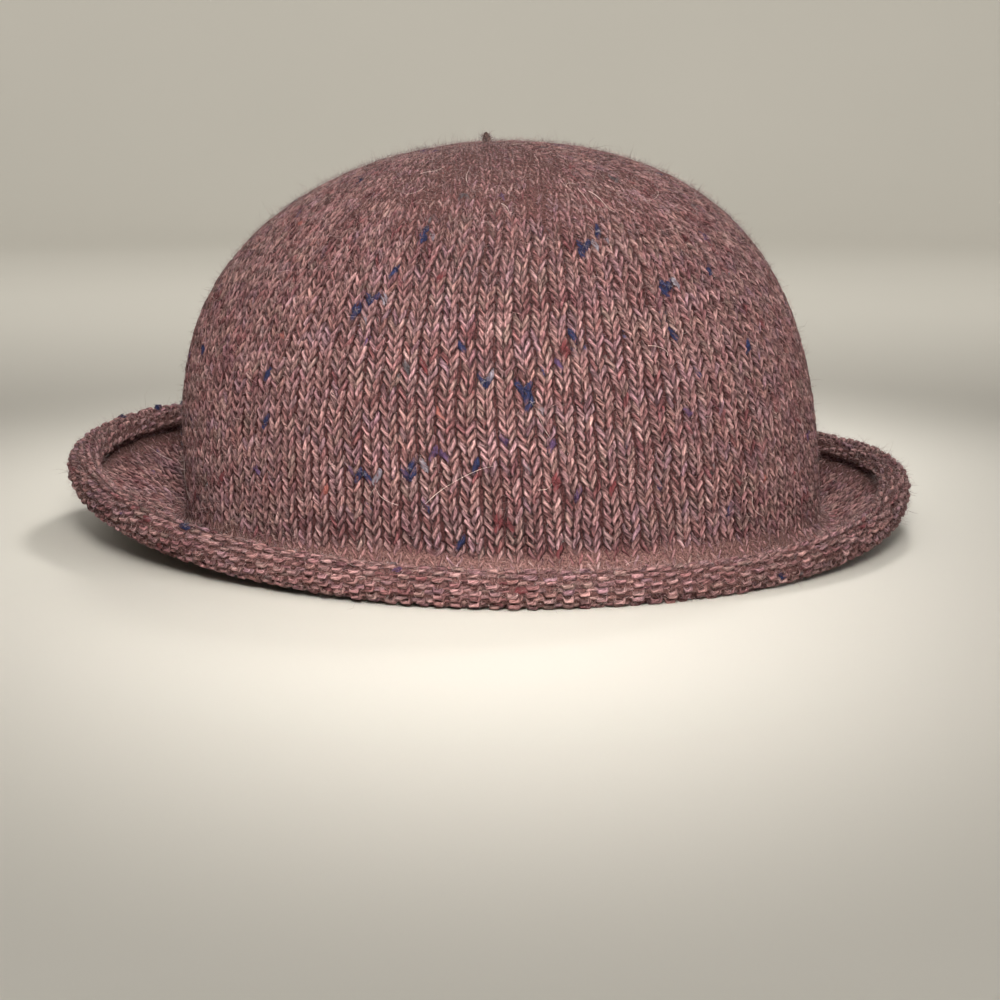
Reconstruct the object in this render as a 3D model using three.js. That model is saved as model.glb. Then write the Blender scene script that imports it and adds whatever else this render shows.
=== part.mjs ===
// A knitted cloche hat that stands on its own brim. Millimetres, +Z up.
//
// The hat is one piece of fabric, knitted in the round: a domed crown, a fold where the
// crown meets the surface and turns outwards, a brim, and the brim's edge, which curls up
// and over by itself into a thin roll. The only other piece is the short stub of yarn where
// the last stitches are drawn together at the top.
//
// The front faces -Y. A bearing is an angle round the hat seen from above: 0 degrees is the
// front, 90 degrees is +X and 180 degrees is the back. The origin is on the surface that the
// hat stands on, at the middle of the hat's width and depth.

import * as THREE from 'three';

// Fabric
const FABRIC_THICKNESS = 3;
const FABRIC_COLOUR = 0x8a6765;
const FABRIC_ROUGHNESS = 0.95;

// Crown, by its outer face
const CROWN_RADIUS = 94;
const CROWN_TOP = 113;
const DOME_POWER = 2.05;
const WALL_POWER = 3;
const CROWN_SWAY = 2.2;
const SWAY_RETURN = 0.85;
const SWAY_POWER = 1.4;

// Fold between crown and brim, and how far the resting fabric is pressed flat
const FOLD_RADIUS = 5.5;
const PRESSED = 0.5;

// Rolled edge: how far the fabric turns, and how much the roll tightens on the way
const CURL_TURN = THREE.MathUtils.degToRad(292);
const CURL_TIGHTENING = 0.4;

// The brim round the hat. Reach is the roll's outermost radius from the crown's axis, lift is
// the height of the roll's underside, and roll is the roll's outer diameter.
const BRIM = [
  { bearing: 0, reach: 121.5, lift: 0, roll: 10.2 },
  { bearing: 35, reach: 119, lift: 0, roll: 9.6 },
  { bearing: 65, reach: 119, lift: 4, roll: 9.4 },
  { bearing: 90, reach: 120.5, lift: 9.5, roll: 9.6 },
  { bearing: 120, reach: 120.5, lift: 10, roll: 9.4 },
  { bearing: 150, reach: 117.5, lift: 8.5, roll: 9.2 },
  { bearing: 180, reach: 116, lift: 8, roll: 9 },
  { bearing: 210, reach: 119.5, lift: 14, roll: 9.4 },
  { bearing: 240, reach: 125, lift: 18.5, roll: 9.8 },
  { bearing: 270, reach: 128, lift: 15.5, roll: 10 },
  { bearing: 295, reach: 124, lift: 9, roll: 10.4 },
  { bearing: 325, reach: 118.5, lift: 2.5, roll: 10.2 },
];

// Yarn stub at the top of the crown
const STUB_SIDESTEP = -4.9;
const STUB_HEIGHT = 2.6;
const STUB_RADIUS = 1.2;
const STUB_GAP = 0.3;
const STUB_SIDES = 10;

// The stub's outline from its foot to near its tip, as shares of its radius and its height
const STUB_OUTLINE = [
  { width: 0.9, height: 0 },
  { width: 1, height: 0.35 },
  { width: 0.85, height: 0.7 },
  { width: 0.5, height: 0.93 },
];

// Mesh steps
const BEARING_STEPS = 64;
const CROWN_STEPS = 15;
const FOLD_STEPS = 6;
const BRIM_STEPS = 3;
const CURL_STEPS = 12;

// Smooth closed curve through one column of the brim table, at a bearing in degrees
function brimValue(column, bearing) {
  const count = BRIM.length;
  const turn = ((bearing % 360) + 360) % 360;
  let row = count - 1;
  while (BRIM[row].bearing > turn) row -= 1;
  const at = (index) => {
    const wrapped = ((index % count) + count) % count;
    const laps = Math.floor(index / count);
    return { x: BRIM[wrapped].bearing + 360 * laps, y: BRIM[wrapped][column] };
  };
  const before = at(row - 1);
  const start = at(row);
  const end = at(row + 1);
  const after = at(row + 2);
  const span = end.x - start.x;
  const startSlope = (end.y - before.y) / (end.x - before.x);
  const endSlope = (after.y - start.y) / (after.x - start.x);
  const s = (turn - start.x) / span;
  const s2 = s * s;
  const s3 = s2 * s;
  return (
    (2 * s3 - 3 * s2 + 1) * start.y +
    (s3 - 2 * s2 + s) * span * startSlope +
    (3 * s2 - 2 * s3) * end.y +
    (s3 - s2) * span * endSlope
  );
}

// Middle line of the fabric at one bearing, from the crown's top to the edge inside the roll.
// Each point is a radius from the crown's axis and a height.
function fabricLine(bearing) {
  const half = FABRIC_THICKNESS / 2;
  const wall = CROWN_RADIUS - half;
  const foldHeight = half + FOLD_RADIUS - PRESSED;
  const domeHeight = CROWN_TOP - half - foldHeight;
  const line = [];

  for (let i = 0; i < CROWN_STEPS; i += 1) {
    const angle = (i / CROWN_STEPS) * (Math.PI / 2);
    const r = wall * Math.sin(angle) ** (2 / DOME_POWER);
    const z = foldHeight + domeHeight * Math.cos(angle) ** (2 / WALL_POWER);
    line.push({ r, z });
  }

  const rollRadius = brimValue('roll', bearing) / 2;
  const curlRadius = rollRadius - half;
  const foldCentre = { r: wall + FOLD_RADIUS, z: foldHeight };
  const rollCentre = {
    r: brimValue('reach', bearing) - rollRadius,
    z: brimValue('lift', bearing) + rollRadius,
  };
  const across = rollCentre.r - foldCentre.r;
  const up = rollCentre.z - foldCentre.z;
  const slope = Math.atan2(up, across) - Math.asin((curlRadius - FOLD_RADIUS) / Math.hypot(across, up));

  const foldTurn = Math.PI / 2 + slope;
  for (let i = 0; i <= FOLD_STEPS; i += 1) {
    const angle = Math.PI + (i / FOLD_STEPS) * foldTurn;
    line.push({
      r: foldCentre.r + FOLD_RADIUS * Math.cos(angle),
      z: foldCentre.z + FOLD_RADIUS * Math.sin(angle),
    });
  }

  const leave = line[line.length - 1];
  const meet = {
    r: rollCentre.r + curlRadius * Math.sin(slope),
    z: rollCentre.z - curlRadius * Math.cos(slope),
  };
  for (let i = 1; i < BRIM_STEPS; i += 1) {
    const share = i / BRIM_STEPS;
    line.push({
      r: leave.r + share * (meet.r - leave.r),
      z: leave.z + share * (meet.z - leave.z),
    });
  }

  for (let i = 0; i <= CURL_STEPS; i += 1) {
    const share = i / CURL_STEPS;
    const angle = slope - Math.PI / 2 + share * CURL_TURN;
    const radius = curlRadius - CURL_TIGHTENING * share;
    line.push({
      r: rollCentre.r + radius * Math.cos(angle),
      z: rollCentre.z + radius * Math.sin(angle),
    });
  }
  return line;
}

// Closed outline of the fabric at one bearing: out along its upper face, back along its under face
function fabricOutline(bearing) {
  const line = fabricLine(bearing);
  const half = FABRIC_THICKNESS / 2;
  const upper = [];
  const under = [];
  line.forEach((point, i) => {
    const previous = line[Math.max(i - 1, 0)];
    const next = line[Math.min(i + 1, line.length - 1)];
    const run = i === 0 ? { r: 1, z: 0 } : { r: next.r - previous.r, z: next.z - previous.z };
    const length = Math.hypot(run.r, run.z);
    const normal = { r: -run.z / length, z: run.r / length };
    upper.push({ r: point.r + half * normal.r, z: point.z + half * normal.z });
    under.push({ r: point.r - half * normal.r, z: point.z - half * normal.z });
  });
  under.reverse();
  return upper.concat(under).map((point) => ({ r: point.r, z: Math.max(point.z, 0) }));
}

// The crown's wall sags towards -X and comes back over the axis near the shoulder, while its
// foot stays on the axis
function swayAt(height) {
  const share = THREE.MathUtils.clamp(height / CROWN_TOP, 0, 1);
  return -CROWN_SWAY * Math.sin(Math.PI * (share / SWAY_RETURN) ** SWAY_POWER);
}

// One closed shell swept round the axis, with a single point at each end of the outline
function makeShell() {
  const outlines = [];
  for (let j = 0; j < BEARING_STEPS; j += 1) {
    outlines.push(fabricOutline((360 * j) / BEARING_STEPS));
  }
  const count = outlines[0].length;
  const positions = [];
  const addPoint = (point, bearing) => {
    positions.push(point.r * Math.sin(bearing) + swayAt(point.z), -point.r * Math.cos(bearing), point.z);
  };
  addPoint(outlines[0][0], 0);
  for (let i = 1; i < count - 1; i += 1) {
    for (let j = 0; j < BEARING_STEPS; j += 1) {
      addPoint(outlines[j][i], (2 * Math.PI * j) / BEARING_STEPS);
    }
  }
  addPoint(outlines[0][count - 1], 0);

  const ringPoint = (i, j) => 1 + (i - 1) * BEARING_STEPS + (j % BEARING_STEPS);
  const firstPole = 0;
  const lastPole = 1 + (count - 2) * BEARING_STEPS;
  const triangles = [];
  for (let j = 0; j < BEARING_STEPS; j += 1) {
    triangles.push(firstPole, ringPoint(1, j), ringPoint(1, j + 1));
    for (let i = 1; i < count - 2; i += 1) {
      const a = ringPoint(i, j);
      const b = ringPoint(i, j + 1);
      const c = ringPoint(i + 1, j + 1);
      const d = ringPoint(i + 1, j);
      triangles.push(a, d, c, a, c, b);
    }
    triangles.push(lastPole, ringPoint(count - 2, j + 1), ringPoint(count - 2, j));
  }
  const geometry = new THREE.BufferGeometry();
  geometry.setAttribute('position', new THREE.Float32BufferAttribute(positions, 3));
  geometry.setIndex(triangles);
  geometry.computeVertexNormals();
  return geometry;
}

// Short rounded stub of yarn, waisted at its foot
function makeStub() {
  const profile = [new THREE.Vector2(0, 0)];
  STUB_OUTLINE.forEach((row) => {
    profile.push(new THREE.Vector2(STUB_RADIUS * row.width, STUB_HEIGHT * row.height));
  });
  profile.push(new THREE.Vector2(0, STUB_HEIGHT));
  const geometry = new THREE.LatheGeometry(profile, STUB_SIDES);
  geometry.rotateX(Math.PI / 2);
  return geometry;
}

function wool() {
  return new THREE.MeshStandardMaterial({
    color: FABRIC_COLOUR,
    roughness: FABRIC_ROUGHNESS,
    metalness: 0,
  });
}

const hat = new THREE.Group();

const shell = new THREE.Mesh(makeShell(), wool());
shell.name = 'knit_shell';
hat.add(shell);

const stub = new THREE.Mesh(makeStub(), wool());
stub.name = 'yarn_stub';
stub.position.set(STUB_SIDESTEP, 0, CROWN_TOP + STUB_GAP);
hat.add(stub);

// Move the crown's axis aside so that the origin is at the middle of the whole hat
const box = new THREE.Box3().setFromObject(shell);
const middle = box.getCenter(new THREE.Vector3());
hat.position.set(-middle.x, -middle.y, 0);

export default hat;
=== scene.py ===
"""The looks of a knitted cloche hat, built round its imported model.

The hat is knitted in the render as it is in life. Each course is one closed tube of yarn that
loops through the courses above and below it, along the same middle surface that the solid is
swept from. A thin felted sheet lies between the outer and the inner faces of the stitches, and
loose fibres stand on them.

A bearing is an angle round the hat in degrees: 0 is the front (-Y) and 90 is +X. A row is a
count of courses from the middle of the crown's top to the brim's edge. Lengths are in
millimetres until a mesh is made.
"""

import math

import bpy
import numpy as np
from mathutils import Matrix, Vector


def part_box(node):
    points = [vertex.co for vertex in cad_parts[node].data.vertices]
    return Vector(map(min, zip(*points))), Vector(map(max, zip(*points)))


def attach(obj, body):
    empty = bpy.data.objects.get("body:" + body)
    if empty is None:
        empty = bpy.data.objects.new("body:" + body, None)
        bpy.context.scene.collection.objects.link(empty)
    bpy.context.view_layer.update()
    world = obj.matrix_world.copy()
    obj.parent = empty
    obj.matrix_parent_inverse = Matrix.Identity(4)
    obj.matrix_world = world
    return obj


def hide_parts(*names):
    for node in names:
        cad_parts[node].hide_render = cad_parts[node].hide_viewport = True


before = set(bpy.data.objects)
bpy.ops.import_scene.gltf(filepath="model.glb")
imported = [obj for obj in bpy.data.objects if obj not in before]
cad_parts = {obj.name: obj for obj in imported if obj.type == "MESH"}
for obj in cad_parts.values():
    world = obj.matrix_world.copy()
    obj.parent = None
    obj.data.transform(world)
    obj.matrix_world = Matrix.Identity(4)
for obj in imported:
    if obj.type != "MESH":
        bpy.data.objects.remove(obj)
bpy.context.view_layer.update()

MM = 0.001

# Fabric surface, with the values of the part's source
FABRIC_THICKNESS = 3.0
CROWN_RADIUS = 94.0
CROWN_TOP = 113.0
DOME_POWER = 2.05
WALL_POWER = 3.0
CROWN_SWAY = 2.2
SWAY_RETURN = 0.85
SWAY_POWER = 1.4
FOLD_RADIUS = 5.5
PRESSED = 0.5
CURL_TURN = math.radians(292)
CURL_TIGHTENING = 0.4
STUB_SIDESTEP = -4.9

# The brim round the hat: bearing, then the roll's outermost radius, the height of its
# underside and its outer diameter
BRIM_BEARING = (0, 35, 65, 90, 120, 150, 180, 210, 240, 270, 295, 325)
BRIM_REACH = (121.5, 119, 119, 120.5, 120.5, 117.5, 116, 119.5, 125, 128, 124, 118.5)
BRIM_LIFT = (0, 0, 4, 9.5, 10, 8.5, 8, 14, 18.5, 15.5, 9, 2.5)
BRIM_ROLL = (10.2, 9.6, 9.4, 9.6, 9.4, 9.2, 9, 9.4, 9.8, 10, 10.4, 10.2)

HALF = FABRIC_THICKNESS / 2
WALL = CROWN_RADIUS - HALF
FOLD_HEIGHT = HALF + FOLD_RADIUS - PRESSED
DOME_HEIGHT = CROWN_TOP - HALF - FOLD_HEIGHT

# Knitting gauge
WALL_ROW = 2.52
TOP_ROW = 2.85
CURL_ROW = 1.75
WALL_STITCHES = 112
BRIM_STITCHES = 168
TOP_WALE = 3.3
TOP_STITCHES = 8
MATTED_HEIGHT = 11.0
FIRST_ROW = 1.3

# Rows back from the brim's edge: where wool gathers beside the roll, where the curl starts
# and where the purl side shows. Then the whole courses of the roll and of the purl
GAP_ROWS = 13
CURLED_ROWS = 11
PURL_ROWS = 8.5
ROLL_COURSES = 9
PURL_COURSES = 8

# How low each thing may go, as the hat presses on the surface
LOWEST_YARN = 0.05
LOWEST_FIBRE = 0.1
LOWEST_FLECK_FIBRE = 0.15
LOWEST_FELT = 0.3

# Yarn and its loops
YARN_RADIUS = 0.75
ROLL_YARN_RADIUS = 0.77
LOOP_REACH = 1.18
ROLL_LOOP_REACH = 1.26
LOOP_DEPTH = 0.84
LEG_INWARD = 0.03
HEAD_LIFT = 0.45
ROLL_LOOP_DEPTH = 0.78
HEAD_CROWDING = 0.045
TOP_CROWDING = 0.05
# the share of the yarn's tint that painted shade leaves where it lies deepest in the cloth
DEEPEST_PAINTED_SHADE = 0.3
STEPS_PER_STITCH = 10
SIDES = 4
STUB_SIDES = 8

# The bake map's strips of yarn: a step's length along the yarn, and a strip's height
STEP_LENGTH = 1.3
STRIP_HEIGHT = 5.607

# How much the stitches differ, as the largest share from the mean
SWING_VARIETY = 0.2
REACH_VARIETY = 0.09
DEPTH_VARIETY = 0.2
NUDGE_VARIETY = 0.08
SLIP_VARIETY = 0.1
LUMP_VARIETY = 0.12

# Fibres: their numbers, and the shares of the fuzz inside the hat and upright
SHORT_FUZZ = 38500
LONG_FUZZ = 8600
LOOSE_HAIRS = 46
STUB_FIBRES = 110
INSIDE_SHARE = 0.05
UPRIGHT_SHARE = 0.4

# Where the photograph is taken, in the part's frame
CAMERA_PLACE = (3.3, -627.3, 118.6)
CAMERA_PITCH = 10.08
CAMERA_LENS = 76.93
SENSOR_WIDTH = 36.0
PICTURE_WIDTH = 1000
# nothing behind this y shows in it
FARTHEST_SEEN = 25.0

rng = np.random.default_rng(7)


def smooth(share):
    """Smooth step from 0 to 1."""
    share = np.clip(share, 0, 1)
    return share * share * (3 - 2 * share)


def unit(directions):
    """The directions at a length of one."""
    return directions / np.maximum(np.linalg.norm(directions, axis=-1, keepdims=True), 1e-9)


def short_way(degrees):
    """The short way round, from -180 to 180 degrees."""
    return np.mod(degrees + 180, 360) - 180


def joined(courses, key):
    """One array of what each course holds."""
    return np.concatenate([c[key] for c in courses])


def neighbours(own, lap):
    """The places on the left and right of each, on a closed course that is one lap long."""
    left, right = np.roll(own, 1), np.roll(own, -1)
    left[0] -= lap
    right[-1] += lap
    return left, right


def closed_line(centre):
    """Distances along a closed line of points, its whole length last, and directions."""
    step = np.linalg.norm(np.roll(centre, -1, 0) - centre, axis=-1)
    ahead = np.roll(centre, -1, 0) - np.roll(centre, 1, 0)
    return np.concatenate([[0], np.cumsum(step)]), unit(ahead)


def spokes(up, side, sides, squash=1.0):
    """Directions from each ring's middle to its corners, the first one up."""
    angle = 2 * math.pi * np.arange(sides)[:, None] / sides
    return np.cos(angle) * up[..., None, :] * squash + np.sin(angle) * side[..., None, :]


def near_far(near, far):
    """The values at a face's corners: two on the near ring, then two on the far one."""
    return np.stack([near, near, far, far], -1)


def brim_value(values, bearing):
    """A smooth closed curve through one row of the brim's values."""
    at = np.array(BRIM_BEARING, float)
    values = np.array(values, float)
    count = len(at)
    turn = np.mod(bearing, 360)
    row = np.searchsorted(at, turn, side="right") - 1

    def place(index):
        return at[index % count] + 360 * (index // count), values[index % count]

    (x0, y0), (x1, y1), (x2, y2), (x3, y3) = (place(row + i) for i in (-1, 0, 1, 2))
    span = x2 - x1
    start_slope = span * (y2 - y0) / (x2 - x0)
    end_slope = span * (y3 - y1) / (x3 - x1)
    s = (turn - x1) / span
    return (
        (2 * s**3 - 3 * s**2 + 1) * y1
        + (s**3 - 2 * s**2 + s) * start_slope
        + (3 * s**2 - 2 * s**3) * y2
        + (s**3 - s**2) * end_slope
    )


def crown_height(radius):
    """Height of the crown's middle surface at a radius from its axis."""
    across = np.clip(radius / WALL, 0, 1) ** DOME_POWER
    return FOLD_HEIGHT + DOME_HEIGHT * np.sqrt(1 - across) ** (2 / WALL_POWER)


def sway_at(height):
    """How far the crown sags aside at a height."""
    share = np.clip(height / CROWN_TOP, 0, 1)
    return -CROWN_SWAY * np.sin(math.pi * (share / SWAY_RETURN) ** SWAY_POWER)


def middle_line(bearing):
    """The fabric's middle line at one bearing, as radius, height and row for each point."""
    angle = np.linspace(0, math.pi / 2, 600, endpoint=False)
    crown_r = WALL * np.sin(angle) ** (2 / DOME_POWER)
    crown_z = FOLD_HEIGHT + DOME_HEIGHT * np.cos(angle) ** (2 / WALL_POWER)

    roll = brim_value(BRIM_ROLL, bearing) / 2
    curl = roll - HALF
    fold_r, fold_z = WALL + FOLD_RADIUS, FOLD_HEIGHT
    roll_r = brim_value(BRIM_REACH, bearing) - roll
    roll_z = brim_value(BRIM_LIFT, bearing) + roll
    across, up = roll_r - fold_r, roll_z - fold_z
    slope = math.atan2(up, across) - math.asin((curl - FOLD_RADIUS) / math.hypot(across, up))

    angle = math.pi + np.linspace(0, 1, 40) * (math.pi / 2 + slope)
    bend_r = fold_r + FOLD_RADIUS * np.cos(angle)
    bend_z = fold_z + FOLD_RADIUS * np.sin(angle)

    share = np.linspace(0, 1, 160)
    angle = slope - math.pi / 2 + share * CURL_TURN
    curl_r = roll_r + (curl - CURL_TIGHTENING * share) * np.cos(angle)
    curl_z = roll_z + (curl - CURL_TIGHTENING * share) * np.sin(angle)

    share = np.linspace(0, 1, 40)[1:-1]
    flat_r = bend_r[-1] + share * (curl_r[0] - bend_r[-1])
    flat_z = bend_z[-1] + share * (curl_z[0] - bend_z[-1])

    r = np.concatenate([crown_r, bend_r, flat_r, curl_r])
    z = np.concatenate([crown_z, bend_z, flat_z, curl_z])
    pitch = np.full(len(r), WALL_ROW)
    pitch[: len(crown_r)] += (TOP_ROW - WALL_ROW) * smooth((86 - crown_r) / 16)
    pitch[-len(curl_r) :] = CURL_ROW
    step = np.hypot(np.diff(r), np.diff(z)) / pitch[1:]
    return r, z, np.concatenate([[0], np.cumsum(step)])


class Fabric:
    """The hat's middle surface, held as a grid of points and outward directions."""

    BEARINGS = 720
    PER_ROW = 8

    def __init__(self, axis):
        self.axis = axis
        bearings = np.arange(self.BEARINGS) * 360 / self.BEARINGS
        lines = [middle_line(bearing) for bearing in bearings]
        self.rows = int(round(np.mean([line[2][-1] for line in lines])))
        grid = np.linspace(0, self.rows, self.rows * self.PER_ROW + 1)
        r = np.empty((self.BEARINGS, len(grid)))
        z = np.empty_like(r)
        for i, (line_r, line_z, line_row) in enumerate(lines):
            row = line_row * self.rows / line_row[-1]
            r[i] = np.interp(grid, row, line_r)
            z[i] = np.interp(grid, row, line_z)
        self.radius = r
        turn = np.radians(bearings)[:, None]
        x, y = r * np.sin(turn), -r * np.cos(turn)
        # the courses close round the yarn stub, which stands beside the crown's axis
        on_crown = z > FOLD_HEIGHT + DOME_HEIGHT / 3
        aside = (STUB_SIDESTEP - sway_at(CROWN_TOP)) * (1 - smooth(r / 60)) * on_crown
        x = x + aside
        z = np.where(aside != 0, crown_height(np.hypot(x, y)), z)
        self.points = np.stack([x + sway_at(z) + axis[0], y + axis[1], z], -1)
        round_hat = np.roll(self.points, -1, 0) - np.roll(self.points, 1, 0)
        along_row = np.gradient(self.points, axis=1)
        outward = np.cross(along_row, round_hat)
        outward[:, 0] = (0, 0, 1)
        self.outward = unit(outward)

    def at(self, bearing, row):
        """Points and outward directions of the surface, between the grid's own."""
        b = np.mod(np.asarray(bearing, float), 360) * self.BEARINGS / 360
        g = np.clip(np.asarray(row, float), 0, self.rows - 1e-6) * self.PER_ROW
        bi, gi = np.floor(b).astype(int), np.floor(g).astype(int)
        bf, gf = (b - bi)[..., None], (g - gi)[..., None]
        bi = bi % self.BEARINGS
        bj = (bi + 1) % self.BEARINGS
        corners = ((bi, gi, (1 - bf) * (1 - gf)), (bj, gi, bf * (1 - gf)))
        corners += ((bi, gi + 1, (1 - bf) * gf), (bj, gi + 1, bf * gf))
        held = self.points, self.outward
        point, outward = (sum(grid[i, j] * weight for i, j, weight in corners) for grid in held)
        return point, unit(outward)


def loose_field(columns, rows, reach):
    """A smooth random field round the hat, read at many bearings of one row. Reach is the
    number of rows that the whole field spans."""
    lattice = rng.uniform(-1, 1, (columns, rows + 2))

    def value(bearing, row):
        b = np.mod(bearing, 360) * columns / 360
        g = np.clip(row / reach, 0, 1) * rows
        bi, gi = np.floor(b).astype(int), np.floor(g).astype(int)
        bf, gf = smooth(b - bi), smooth(g - gi)
        levels = lattice[:, gi], lattice[:, gi + 1]
        low, high = (at[bi % columns] * (1 - bf) + at[(bi + 1) % columns] * bf for at in levels)
        return low * (1 - gf) + high * gf

    return value


def stitch_counts(fabric):
    """The number of stitches in each course, from the top down."""
    counts = []
    for course in range(fabric.rows):
        row = min(course + FIRST_ROW, fabric.rows)
        radius = fabric.radius[0, int(row * fabric.PER_ROW)]
        if radius < WALL + 1:
            wanted = min(WALL_STITCHES, 2 * math.pi * radius / TOP_WALE)
        else:
            flare = np.interp(radius, [WALL + 3, 112], [WALL_STITCHES, BRIM_STITCHES])
            wanted = 28 * round(float(flare) / 28)
        last = counts[-1] if counts else TOP_STITCHES
        counts.append(int(max(last, round(wanted / 4) * 4)))
    return counts


def wale_places(counts):
    """Where each stitch of each course stands round the hat, as a share of the turn, and
    which stitch of the course above its head goes into. The places are relaxed until the
    columns of stitches run smoothly where stitches are taken away."""
    places, heads = [], []
    for course, count in enumerate(counts):
        places.append((np.arange(count) + 0.5) / count)
        above = counts[course - 1] if course else count
        drift = 0.37 * course if above != count else 0
        nearest = np.round((np.arange(count) + 0.5) * above / count - 0.5 + 0.2 * math.sin(drift))
        heads.append(nearest.astype(int) % above)
    for _ in range(60):
        for course in range(len(counts)):
            own = places[course]
            left, right = neighbours(own, 1)
            pull = (left + right) / 2 - own
            if course:
                up = places[course - 1][heads[course]] - own
                pull = pull + 0.5 * (np.mod(up + 0.5, 1) - 0.5)
            if course + 1 < len(counts):
                below, into = places[course + 1], heads[course + 1]
                gap = np.mod(below - own[into] + 0.5, 1) - 0.5
                total = np.bincount(into, gap, len(own))
                number = np.maximum(np.bincount(into, minlength=len(own)), 1)
                pull = pull + 0.5 * total / number
            places[course] = own + 0.45 * pull
    return places, heads


def knit(fabric):
    """The yarn's centre line, course by course. Each course is a dict of arrays with
    one entry for every step along the yarn."""
    counts = stitch_counts(fabric)
    places, heads = wale_places(counts)
    sideways = loose_field(56, 24, fabric.rows)
    updown = loose_field(36, 30, fabric.rows)
    courses = []

    def vary(most):
        return rng.uniform(-most, most, count)

    for course, count in enumerate(counts):
        row = min(course + FIRST_ROW, fabric.rows - 0.35)
        own = places[course] * 360
        left, right = neighbours(own, 360)
        foot_left, foot_right = (left + own) / 2, (right + own) / 2
        width = foot_right - foot_left
        above = places[course - 1][heads[course]] * 360 if course else own
        lean = short_way(above - own)

        radius = np.linalg.norm(fabric.at(own, np.full(count, row))[0][:, :2], axis=-1)
        wale = np.maximum(np.radians(width) * radius, 0.5)
        curled = smooth((row - fabric.rows + CURLED_ROWS) / 3)
        narrow = smooth(5 - wale) * (1 - curled)
        # steps fall beside the heads on the roll, where heads show, and beside the legs elsewhere
        shift = 0.5 * (curled > 0.5)
        t = -math.pi + 2 * math.pi * (np.arange(STEPS_PER_STITCH) + shift) / STEPS_PER_STITCH
        head_share = (1 + np.cos(t)) / 2
        swing = 0.375 + HEAD_CROWDING + TOP_CROWDING * narrow - YARN_RADIUS / wale
        swing = np.clip(swing / 0.97, 0.06, 0.28) * (1 + vary(SWING_VARIETY))
        reach = LOOP_REACH + (ROLL_LOOP_REACH - LOOP_REACH) * curled
        reach = reach * (1 + vary(REACH_VARIETY) * (1 + curled))
        foot_reach = (reach + np.roll(reach, -1)) / 2
        foot_before = np.roll(foot_reach, 1)
        depth = LOOP_DEPTH * (1 - 0.32 * narrow) + (ROLL_LOOP_DEPTH - LOOP_DEPTH) * curled
        depth = depth * (1 + vary(DEPTH_VARIETY))
        nudge = vary(NUDGE_VARIETY) * width
        slip = vary(SLIP_VARIETY) * (1 + 1.6 * curled)

        before = t < 0
        half = np.where(before, (own - foot_left)[:, None], (foot_right - own)[:, None])
        bearing = own[:, None] + half * t / math.pi
        bearing = bearing + (swing * width)[:, None] * np.sin(2 * t)
        bearing = bearing - LEG_INWARD * width[:, None] * np.sin(t)
        bearing = bearing + (0.8 * lean + nudge)[:, None] * head_share
        foot = np.where(before, foot_before[:, None], foot_reach[:, None])
        climb = (foot + (reach[:, None] - foot) * head_share) * np.cos(t)
        climb = climb + slip[:, None] * head_share
        outward = -depth[:, None] * (np.cos(2 * t) + HEAD_LIFT * float(curled) * np.cos(t))

        bearing, climb, outward = bearing.ravel(), climb.ravel(), outward.ravel()
        wobble_b = sideways(bearing, row) * (0.18 + 0.16 * narrow.mean()) * 360 / count
        wobble_row = updown(bearing, row) * (0.17 + 0.2 * narrow.mean())
        rows = np.maximum(row - climb + wobble_row, 0.1)
        yarn = YARN_RADIUS + (ROLL_YARN_RADIUS - YARN_RADIUS) * float(curled)
        line = {"bearing": bearing + wobble_b, "row": rows, "outward": outward}
        courses.append({**line, "stitches": count, "yarn": yarn})
    return courses


def yarn_tubes(fabric, courses):
    """Adds to each course its centre line, its length along the yarn, its rings, and the
    painted shade that darkens the rings' corners that lie deep in the cloth.
    """
    travelled = 0.0
    for c in courses:
        surface, outward = fabric.at(c["bearing"], c["row"])
        centre = surface + outward * c["outward"][:, None]
        along, tangent = closed_line(centre)
        along += travelled
        travelled = along[-1] + 40
        side = unit(np.cross(tangent, outward))
        up = np.cross(side, tangent)
        count = len(centre)
        knots = np.arange(0, count + 4, 4)
        lumps = np.interp(np.arange(count), knots, rng.uniform(-1, 1, len(knots)))
        lumps[-4:] += (lumps[0] - lumps[-1]) * np.linspace(0.25, 1, 4)
        radius = (c.get("thick", 1.0) * c["yarn"] * (1 + LUMP_VARIETY * lumps))[:, None, None]
        angle = 2 * math.pi * np.arange(SIDES) / SIDES
        # painted shade: each ring corner's tint is darkened the nearer it lies to the cloth's
        # middle, where neighbouring stitches shade it
        rise = np.abs(c["outward"][:, None] + radius[:, :, 0] * np.cos(angle))
        c["depth_shade"] = DEEPEST_PAINTED_SHADE + (1 - DEEPEST_PAINTED_SHADE) * smooth((rise - 0.55) / 0.95)
        rings = centre[:, None] + radius * spokes(up, side, SIDES, 0.95)
        # the cloth is pressed flat where it lies on the surface
        rings[..., 2] = np.maximum(rings[..., 2], LOWEST_YARN)
        c.update(centre=centre, normal=outward, rings=rings, along=along)


def placed(name, data):
    """A new object in the scene."""
    thing = bpy.data.objects.new(name, data)
    bpy.context.scene.collection.objects.link(thing)
    return thing


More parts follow.
